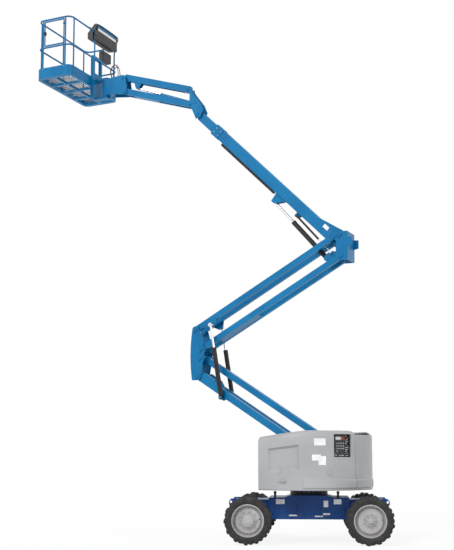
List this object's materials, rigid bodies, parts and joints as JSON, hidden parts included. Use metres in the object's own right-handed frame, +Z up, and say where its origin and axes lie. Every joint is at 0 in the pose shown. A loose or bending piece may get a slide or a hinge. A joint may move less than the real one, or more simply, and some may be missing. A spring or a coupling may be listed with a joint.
{
  "type": "articulating boom lift",
  "caption": "Self-propelled articulating boom lift: slewing turntable, folding riser, telescoping boom, jib and guarded work platform.",
  "frame": {"origin": "on the floor under the turntable's slewing axis, midway between the axles", "axes": "+Z up, +X towards the steered wheels, +Y to the far side of the picture"},
  "size_m": [6.7368, 3.7996, 10.2794],
  "materials": {
    "blue_paint": "gloss",
    "chassis_paint": "gloss",
    "cowl_paint": "satin",
    "wheel_paint": "satin",
    "black_steel": "satin",
    "rod_chrome": "polished",
    "black_plastic": "matte",
    "grating_steel": "galvanised",
    "tyre_rubber": "matte"
  },
  "bodies": {
    "chassis": {"chassis_frame": "chassis_paint", "drive_axle": "chassis_paint", "steer_axle": "chassis_paint", "swing_bearing": "black_steel"},
    "steer_near": {"steer_knuckle_near": "chassis_paint"},
    "steer_far": {"steer_knuckle_far": "chassis_paint"},
    "tie_rod": {"tie_rod": "black_steel"},
    "drive_wheel_near": {"drive_tyre_near": "tyre_rubber", "drive_rim_near": "wheel_paint"},
    "drive_wheel_far": {"drive_tyre_far": "tyre_rubber", "drive_rim_far": "wheel_paint"},
    "steer_wheel_near": {"steer_tyre_near": "tyre_rubber", "steer_rim_near": "wheel_paint"},
    "steer_wheel_far": {"steer_tyre_far": "tyre_rubber", "steer_rim_far": "wheel_paint"},
    "turntable": {"turntable_frame": "chassis_paint", "counterweight": "cowl_paint", "engine": "black_steel", "ground_controls": "black_plastic"},
    "cover_near": {"cover_near": "cowl_paint"},
    "cover_far": {"cover_far": "cowl_paint"},
    "lower_arm": {"lower_arm": "blue_paint"},
    "lower_link": {"lower_link": "blue_paint"},
    "mid_knuckle": {"mid_knuckle": "blue_paint"},
    "upper_link": {"upper_link": "blue_paint"},
    "upper_arm": {"upper_arm": "blue_paint"},
    "upper_knuckle": {"upper_knuckle": "blue_paint"},
    "riser_cylinder": {"riser_cylinders": "black_steel"},
    "riser_rod": {"riser_rods": "rod_chrome"},
    "boom": {"boom_tube": "blue_paint", "hose_track": "black_plastic"},
    "extension": {"boom_extension": "blue_paint"},
    "boom_cylinder": {"boom_cylinder": "black_steel"},
    "boom_rod": {"boom_rod": "rod_chrome"},
    "level_cylinder": {"level_cylinder": "black_steel"},
    "level_rod": {"level_rod": "rod_chrome"},
    "jib_knuckle": {"jib_knuckle": "blue_paint"},
    "jib_beam": {"jib_beam": "blue_paint"},
    "jib_link": {"jib_link": "blue_paint"},
    "jib_end": {"jib_end": "blue_paint"},
    "jib_cylinder": {"jib_cylinder": "blue_paint"},
    "jib_rod": {"jib_rod": "rod_chrome"},
    "platform": {"platform_mount": "blue_paint", "platform_floor": "blue_paint", "platform_grating": "grating_steel", "platform_rails": "blue_paint", "platform_controls": "black_plastic"},
    "gate": {"platform_gate": "blue_paint"}
  },
  "joints": [
    {"name": "drive_wheel_near_spin", "type": "hinge", "parent": "chassis", "child": "drive_wheel_near", "pos_m": [-1.015, -0.985, 0.405], "axis": [0, 1, 0], "continuous": true},
    {"name": "drive_wheel_far_spin", "type": "hinge", "parent": "chassis", "child": "drive_wheel_far", "pos_m": [-1.015, 0.985, 0.405], "axis": [0, 1, 0], "continuous": true},
    {"name": "steer_wheel_near_spin", "type": "hinge", "parent": "steer_near", "child": "steer_wheel_near", "pos_m": [1.015, -0.985, 0.405], "axis": [0, 1, 0], "continuous": true},
    {"name": "steer_wheel_far_spin", "type": "hinge", "parent": "steer_far", "child": "steer_wheel_far", "pos_m": [1.015, 0.985, 0.405], "axis": [0, 1, 0], "continuous": true},
    {"name": "steering", "type": "hinge", "parent": "chassis", "child": "steer_near", "pos_m": [1.015, -0.76, 0.405], "axis": [0, 0, 1], "range_deg": [-35, 35]},
    {"name": "steer_far_follow", "type": "hinge", "parent": "chassis", "child": "steer_far", "pos_m": [1.015, 0.76, 0.405], "axis": [0, 0, 1], "range_deg": [-35.1, 35.1]},
    {"name": "tie_rod_pivot", "type": "hinge", "parent": "steer_near", "child": "tie_rod", "pos_m": [0.865, -0.76, 0.345], "axis": [0, 0, 1], "range_deg": [-35.1, 35.1]},
    {"name": "slew", "type": "hinge", "parent": "chassis", "child": "turntable", "pos_m": [0, 0, 0.85], "axis": [0, 0, 1], "continuous": true},
    {"name": "cover_near_lift", "type": "hinge", "parent": "turntable", "child": "cover_near", "pos_m": [-0.16075, -0.44166, 1.94], "axis": [-0.9397, 0.342, 0], "range_deg": [0, 60]},
    {"name": "cover_far_lift", "type": "hinge", "parent": "turntable", "child": "cover_far", "pos_m": [0.16075, 0.44166, 1.94], "axis": [0.9397, -0.342, 0], "range_deg": [0, 60]},
    {"name": "riser_lift", "type": "hinge", "parent": "turntable", "child": "lower_arm", "pos_m": [0.50837, -0.18503, 1.232], "axis": [0.342, 0.9397, 0], "range_deg": [-29, 35]},
    {"name": "lower_link_turn", "type": "hinge", "parent": "turntable", "child": "lower_link", "pos_m": [0.57791, -0.21034, 1.572], "axis": [0.342, 0.9397, 0], "range_deg": [-29.05, 35.05]},
    {"name": "mid_knuckle_turn", "type": "hinge", "parent": "lower_arm", "child": "mid_knuckle", "pos_m": [-1.982, 0.72139, 2.95306], "axis": [0.342, 0.9397, 0], "range_deg": [-35.05, 29.05]},
    {"name": "upper_link_turn", "type": "hinge", "parent": "mid_knuckle", "child": "upper_link", "pos_m": [-1.91246, 0.69608, 3.45206], "axis": [0.342, 0.9397, 0], "range_deg": [-35.05, 29.05]},
    {"name": "upper_arm_turn", "type": "hinge", "parent": "mid_knuckle", "child": "upper_arm", "pos_m": [-2.01207, 0.73233, 3.82206], "axis": [0.342, 0.9397, 0], "range_deg": [-35.05, 29.05]},
    {"name": "upper_knuckle_turn", "type": "hinge", "parent": "upper_link", "child": "upper_knuckle", "pos_m": [0.67709, -0.24644, 4.99851], "axis": [0.342, 0.9397, 0], "range_deg": [-29.05, 35.05]},
    {"name": "riser_cylinder_turn", "type": "hinge", "parent": "lower_arm", "child": "riser_cylinder", "pos_m": [-1.498, 0.54523, 2.53988], "axis": [0.342, 0.9397, 0], "range_deg": [-23.78, 19.7]},
    {"name": "riser_rod_slide", "type": "slide", "parent": "riser_cylinder", "child": "riser_rod", "axis": [-0.1492, 0.0543, 0.9873], "range_m": [-0.37016, 0.44674]},
    {"name": "boom_lift", "type": "hinge", "parent": "upper_knuckle", "child": "boom", "pos_m": [0.67333, -0.24507, 5.39051], "axis": [0.342, 0.9397, 0], "range_deg": [-44.6, 30.3]},
    {"name": "boom_cylinder_turn", "type": "hinge", "parent": "upper_knuckle", "child": "boom_cylinder", "pos_m": [0.37356, -0.13597, 4.99551], "axis": [0.342, 0.9397, 0], "range_deg": [-43.98, 29.88]},
    {"name": "boom_rod_slide", "type": "slide", "parent": "boom_cylinder", "child": "boom_rod", "axis": [-0.6212, 0.2261, 0.7503], "range_m": [-0.3709, 0.25198]},
    {"name": "level_cylinder_turn", "type": "hinge", "parent": "boom", "child": "level_cylinder", "pos_m": [-0.15382, 0.05599, 5.83132], "axis": [0.342, 0.9397, 0], "range_deg": [-0.61, 0.89]},
    {"name": "level_rod_slide", "type": "slide", "parent": "level_cylinder", "child": "level_rod", "axis": [0.6219, -0.2264, -0.7496], "range_m": [-0.28051, 0.19057]},
    {"name": "boom_extend", "type": "slide", "parent": "boom", "child": "extension", "axis": [-0.6685, 0.2433, 0.7028], "range_m": [-0.38, 0.82]},
    {"name": "jib_level", "type": "hinge", "parent": "extension", "child": "jib_knuckle", "pos_m": [-2.03621, 0.74112, 8.01964], "axis": [0.342, 0.9397, 0], "range_deg": [-30.35, 44.65]},
    {"name": "jib_lower", "type": "hinge", "parent": "jib_knuckle", "child": "jib_beam", "pos_m": [-2.23261, 0.8126, 8.53664], "axis": [-0.342, -0.9397, 0], "range_deg": [-28, 83]},
    {"name": "jib_link_turn", "type": "hinge", "parent": "jib_knuckle", "child": "jib_link", "pos_m": [-2.18187, 0.79413, 8.24064], "axis": [-0.342, -0.9397, 0], "range_deg": [-28.05, 83.05]},
    {"name": "jib_end_level", "type": "hinge", "parent": "jib_beam", "child": "jib_end", "pos_m": [-3.59997, 1.31028, 9.00944], "axis": [-0.342, -0.9397, 0], "range_deg": [-83.05, 28.05]},
    {"name": "jib_cylinder_turn", "type": "hinge", "parent": "jib_knuckle", "child": "jib_cylinder", "pos_m": [-2.10293, 0.7654, 8.25264], "axis": [-0.342, -0.9397, 0], "range_deg": [-25.79, 76.44]},
    {"name": "jib_rod_slide", "type": "slide", "parent": "jib_cylinder", "child": "jib_rod", "axis": [-0.8738, 0.318, 0.3678], "range_m": [-0.37122, 0.12523]},
    {"name": "platform_rotate", "type": "hinge", "parent": "jib_end", "child": "platform", "pos_m": [-4.01907, 1.46282, 9.00944], "axis": [0, 0, 1], "range_deg": [-80, 80]},
    {"name": "gate_swing", "type": "hinge", "parent": "platform", "child": "gate", "pos_m": [-4.75728, 0.78045, 9.82244], "axis": [0, 0, 1], "range_deg": [0, 90]}
  ],
  "couplings": [
    {"joint": "steer_far_follow", "follows": "steering", "ratio": 1},
    {"joint": "tie_rod_pivot", "follows": "steering", "ratio": -1},
    {"joint": "lower_link_turn", "follows": "riser_lift", "ratio": 1},
    {"joint": "mid_knuckle_turn", "follows": "riser_lift", "ratio": -1},
    {"joint": "upper_link_turn", "follows": "riser_lift", "ratio": -1},
    {"joint": "upper_arm_turn", "follows": "riser_lift", "ratio": -1},
    {"joint": "upper_knuckle_turn", "follows": "riser_lift", "ratio": 1},
    {"joint": "riser_cylinder_turn", "follows": "riser_lift", "ratio": -0.6787},
    {"joint": "riser_rod_slide", "follows": "riser_lift", "m_per_rad": 0.73059},
    {"joint": "boom_cylinder_turn", "follows": "boom_lift", "ratio": 0.985},
    {"joint": "boom_rod_slide", "follows": "boom_lift", "m_per_rad": 0.476},
    {"joint": "level_cylinder_turn", "follows": "boom_lift", "ratio": -0.02},
    {"joint": "level_rod_slide", "follows": "boom_lift", "m_per_rad": 0.36},
    {"joint": "jib_level", "follows": "boom_lift", "ratio": -1},
    {"joint": "jib_link_turn", "follows": "jib_lower", "ratio": 1},
    {"joint": "jib_end_level", "follows": "jib_lower", "ratio": -1},
    {"joint": "jib_cylinder_turn", "follows": "jib_lower", "ratio": 0.92},
    {"joint": "jib_rod_slide", "follows": "jib_lower", "m_per_rad": -0.256}
  ]
}
